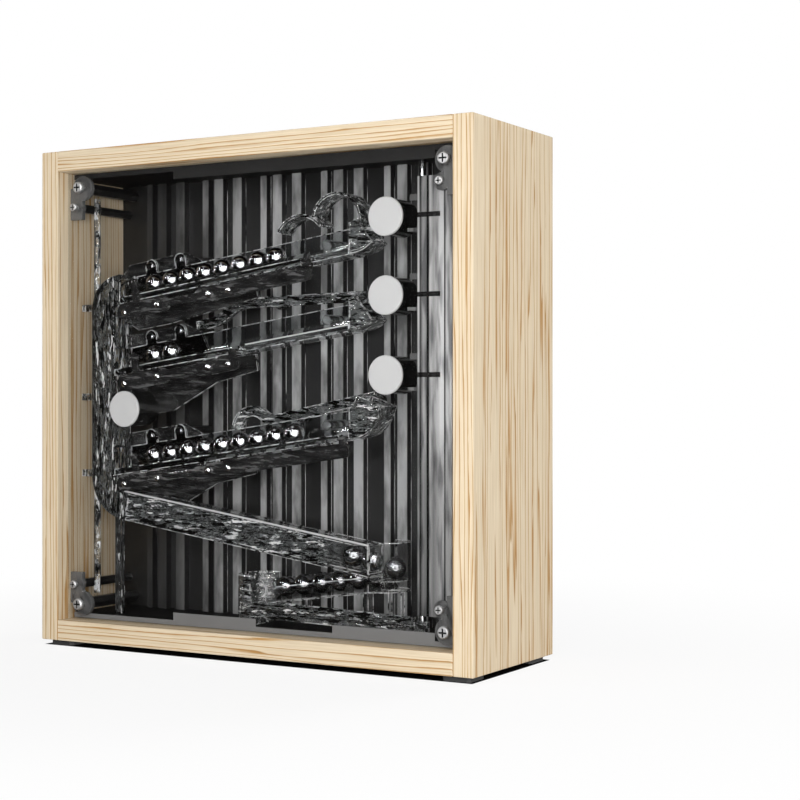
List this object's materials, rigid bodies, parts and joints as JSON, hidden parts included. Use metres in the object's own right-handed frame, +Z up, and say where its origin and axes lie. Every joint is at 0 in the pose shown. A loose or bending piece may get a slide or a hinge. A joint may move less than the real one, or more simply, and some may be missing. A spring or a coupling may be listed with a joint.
{
  "type": "rolling ball clock",
  "caption": "Rolling ball clock in a wooden box frame: steel balls on sloping clear troughs behind a smoked front, with a belt lift, drop wheels, release levers and a return chute.",
  "frame": {"origin": "middle of the four feet's bottoms", "axes": "+X to the right seen from the front, +Y to the back, +Z up"},
  "size_m": [0.24, 0.08, 0.2425],
  "materials": {
    "ash": "clear satin varnish",
    "smoked_sheet": "laser-cut edge, polished faces",
    "clear_plastic": "moulded, clear",
    "back_plate": "satin",
    "black_plastic": "moulded",
    "white_plastic": "moulded",
    "grey_plastic": "moulded",
    "steel": "turned, zinc plated",
    "ball_steel": "lapped and polished",
    "motor_metal": "drawn can",
    "belt_rubber": "moulded",
    "rubber": "die-cut",
    "board": "solder mask"
  },
  "bodies": {
    "clock": {"back_plate": "back_plate", "bottom_deck": "smoked_sheet", "top_deck": "smoked_sheet", "bottom_rail": "ash", "top_rail": "ash", "left_stile": "ash", "right_stile": "ash", "rubber_feet": "rubber", "front_panel": "smoked_sheet", "panel_screws": "steel", "corner_plates": "clear_plastic", "corner_screws": "steel", "corner_posts": "black_plastic", "ones_trough": "clear_plastic", "tens_trough": "clear_plastic", "hours_trough": "clear_plastic", "lever_pins": "steel", "reservoir_balls": "ball_steel", "trough_posts": "black_plastic", "trough_screws": "steel", "wheel_motors": "motor_metal", "ones_spout": "clear_plastic", "tens_spout": "clear_plastic", "hours_spout": "clear_plastic", "return_chute": "clear_plastic", "return_ramp": "clear_plastic", "chute_brackets": "clear_plastic", "turn_pocket": "clear_plastic", "reservoir_trough": "clear_plastic", "feed_channel": "clear_plastic", "lift_shaft": "clear_plastic", "lift_belt": "belt_rubber", "lift_motor": "motor_metal", "lift_column": "steel", "circuit_board": "board", "rear_cover": "smoked_sheet", "rear_screws": "steel", "power_inlet": "steel", "row_plates": "smoked_sheet", "guide_rails": "clear_plastic", "lift_tabs": "white_plastic"},
    "ones_gate": {"ones_lever": "smoked_sheet"},
    "ones_row": {"ones_balls": "ball_steel"},
    "ones_drop_wheel": {"ones_wheel": "black_plastic", "ones_cap": "white_plastic"},
    "tens_gate": {"tens_lever": "smoked_sheet"},
    "tens_row": {"tens_balls": "ball_steel"},
    "tens_drop_wheel": {"tens_wheel": "black_plastic", "tens_cap": "white_plastic"},
    "hours_gate": {"hours_lever": "smoked_sheet"},
    "hours_row": {"hours_balls": "ball_steel"},
    "hours_drop_wheel": {"hours_wheel": "black_plastic", "hours_cap": "white_plastic"},
    "brake": {"brake_wheel": "black_plastic", "brake_cap": "white_plastic"},
    "carriage": {"lift_carriage": "black_plastic"},
    "upper_pulley": {"top_pulley": "grey_plastic"},
    "lower_pulley": {"bottom_pulley": "grey_plastic"},
    "hour_set": {"hour_button": "black_plastic"},
    "minute_set": {"minute_button": "black_plastic"}
  },
  "joints": [
    {"name": "ones_gate_tip", "type": "hinge", "parent": "clock", "child": "ones_gate", "pos_m": [-0.02626, -0.02, 0.17073], "axis": [0, 1, 0], "range_deg": [0, 11.3]},
    {"name": "tens_gate_tip", "type": "hinge", "parent": "clock", "child": "tens_gate", "pos_m": [-0.02626, -0.02, 0.13603], "axis": [0, 1, 0], "range_deg": [0, 11.3]},
    {"name": "hours_gate_tip", "type": "hinge", "parent": "clock", "child": "hours_gate", "pos_m": [-0.02626, -0.02, 0.08723], "axis": [0, 1, 0], "range_deg": [0, 11.3]},
    {"name": "ones_row_roll", "type": "slide", "parent": "clock", "child": "ones_row", "axis": [0.9903, 0, 0.1392], "range_m": [0, 0.01025]},
    {"name": "tens_row_roll", "type": "slide", "parent": "clock", "child": "tens_row", "axis": [0.9903, 0, 0.1392], "range_m": [0, 0.03075]},
    {"name": "hours_row_roll", "type": "slide", "parent": "clock", "child": "hours_row", "axis": [0.9903, 0, 0.1392], "range_m": [0, 0.0205]},
    {"name": "ones_wheel_turn", "type": "hinge", "parent": "clock", "child": "ones_drop_wheel", "pos_m": [0.0704, 0, 0.202], "axis": [0, 1, 0], "continuous": true},
    {"name": "tens_wheel_turn", "type": "hinge", "parent": "clock", "child": "tens_drop_wheel", "pos_m": [0.0704, 0, 0.167], "axis": [0, 1, 0], "continuous": true},
    {"name": "hours_wheel_turn", "type": "hinge", "parent": "clock", "child": "hours_drop_wheel", "pos_m": [0.0704, 0, 0.1316], "axis": [0, 1, 0], "continuous": true},
    {"name": "brake_wheel_turn", "type": "hinge", "parent": "clock", "child": "brake", "pos_m": [-0.0772, 0, 0.1161], "axis": [0, 1, 0], "continuous": true},
    {"name": "lift", "type": "slide", "parent": "clock", "child": "carriage", "axis": [0, 0, 1], "range_m": [-0.081, 0.0975]},
    {"name": "upper_pulley_turn", "type": "hinge", "parent": "clock", "child": "upper_pulley", "pos_m": [0.093, 0, 0.2165], "axis": [0, 1, 0], "range_deg": [-940, 1130]},
    {"name": "lower_pulley_turn", "type": "hinge", "parent": "clock", "child": "lower_pulley", "pos_m": [0.093, 0, 0.0225], "axis": [0, 1, 0], "range_deg": [-940, 1130]},
    {"name": "hour_button_press", "type": "slide", "parent": "clock", "child": "hour_set", "axis": [0, -1, 0], "range_m": [0, 0.001], "stiffness_N_per_m": 200},
    {"name": "minute_button_press", "type": "slide", "parent": "clock", "child": "minute_set", "axis": [0, -1, 0], "range_m": [0, 0.001], "stiffness_N_per_m": 200}
  ],
  "couplings": [
    {"joint": "upper_pulley_turn", "follows": "lift", "rad_per_m": 200},
    {"joint": "lower_pulley_turn", "follows": "lift", "rad_per_m": 200}
  ]
}
